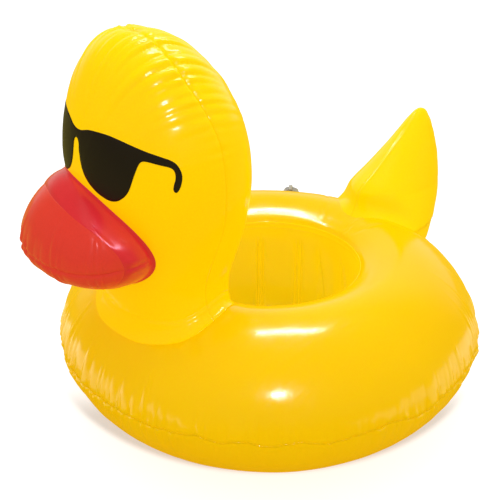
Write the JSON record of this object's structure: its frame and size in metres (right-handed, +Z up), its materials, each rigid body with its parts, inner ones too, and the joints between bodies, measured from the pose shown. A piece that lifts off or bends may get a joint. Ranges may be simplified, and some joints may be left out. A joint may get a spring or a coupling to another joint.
{
  "type": "floating chlorine dispenser",
  "caption": "Inflatable duck pool float whose central well holds a telescoping, adjustable chlorine tablet dispenser with a screw lid.",
  "frame": {"origin": "on the axis of the inflated ring, at the plane the float rests on", "axes": "+Z up along the ring's axis; the duck faces -Y; the duck's left side is +X"},
  "size_m": [0.3332, 0.384, 0.3103],
  "materials": {
    "yellow_vinyl": "gloss",
    "red_vinyl": "gloss",
    "crimson_vinyl": "gloss",
    "black_ink": "satin",
    "clear_vinyl": "gloss",
    "white_plastic": "satin",
    "blue_plastic": "satin",
    "grey_plastic": "satin",
    "gasket_rubber": "matte"
  },
  "bodies": {
    "float": {"ring_upper_panel": "yellow_vinyl", "ring_lower_panel": "yellow_vinyl", "well_sleeve": "yellow_vinyl", "well_floor": "yellow_vinyl", "head_front_panel": "yellow_vinyl", "head_rear_panel": "yellow_vinyl", "bill_base_band": "crimson_vinyl", "bill_upper_panel": "red_vinyl", "bill_lower_panel": "red_vinyl", "sunglasses_print": "black_ink", "tail_left_panel": "yellow_vinyl", "tail_right_panel": "yellow_vinyl", "valve_flange": "clear_vinyl", "dispenser_barrel": "white_plastic", "retaining_ring": "white_plastic"},
    "valve_stem": {"valve_stem": "clear_vinyl", "valve_strap": "clear_vinyl"},
    "valve_flap": {"valve_flap": "clear_vinyl"},
    "valve_stopper": {"valve_stopper": "clear_vinyl"},
    "upper_stage": {"basket_upper_stage": "blue_plastic"},
    "lower_cup": {"basket_lower_cup": "blue_plastic"},
    "shutter": {"flow_shutter": "grey_plastic", "shutter_clip": "white_plastic"},
    "gasket": {"lid_gasket": "gasket_rubber"},
    "lid": {"lid": "blue_plastic"}
  },
  "joints": [
    {"name": "valve_press", "type": "slide", "parent": "float", "child": "valve_stem", "axis": [-0.4998, 0.5749, 0.6478], "range_m": [-0.0052, 0]},
    {"name": "flap_open", "type": "hinge", "parent": "valve_stem", "child": "valve_flap", "pos_m": [-0.09565, 0.11003, 0.08846], "axis": [0.7547, 0.6561, 0], "range_deg": [0, 50]},
    {"name": "stopper_pull", "type": "slide", "parent": "valve_stem", "child": "valve_stopper", "axis": [-0.4998, 0.5749, 0.6478], "range_m": [0, 0.012]},
    {"name": "upper_stage_extend", "type": "slide", "parent": "float", "child": "upper_stage", "axis": [0, 0, -1], "range_m": [0, 0.0255]},
    {"name": "lower_cup_extend", "type": "slide", "parent": "upper_stage", "child": "lower_cup", "axis": [0, 0, -1], "range_m": [0, 0.0255]},
    {"name": "shutter_turn", "type": "hinge", "parent": "lower_cup", "child": "shutter", "pos_m": [0, 0, 0.003], "axis": [0, 0, 1], "range_deg": [0, 30]},
    {"name": "lid_lift", "type": "slide", "parent": "float", "child": "gasket", "axis": [0, 0, 1], "range_m": [0, 0.0061]},
    {"name": "lid_turn", "type": "hinge", "parent": "gasket", "child": "lid", "pos_m": [0, 0, 0.04], "axis": [0, 0, 1], "range_deg": [0, 90]}
  ],
  "couplings": [
    {"joint": "lid_lift", "follows": "lid_turn", "m_per_rad": 0.0038197}
  ]
}
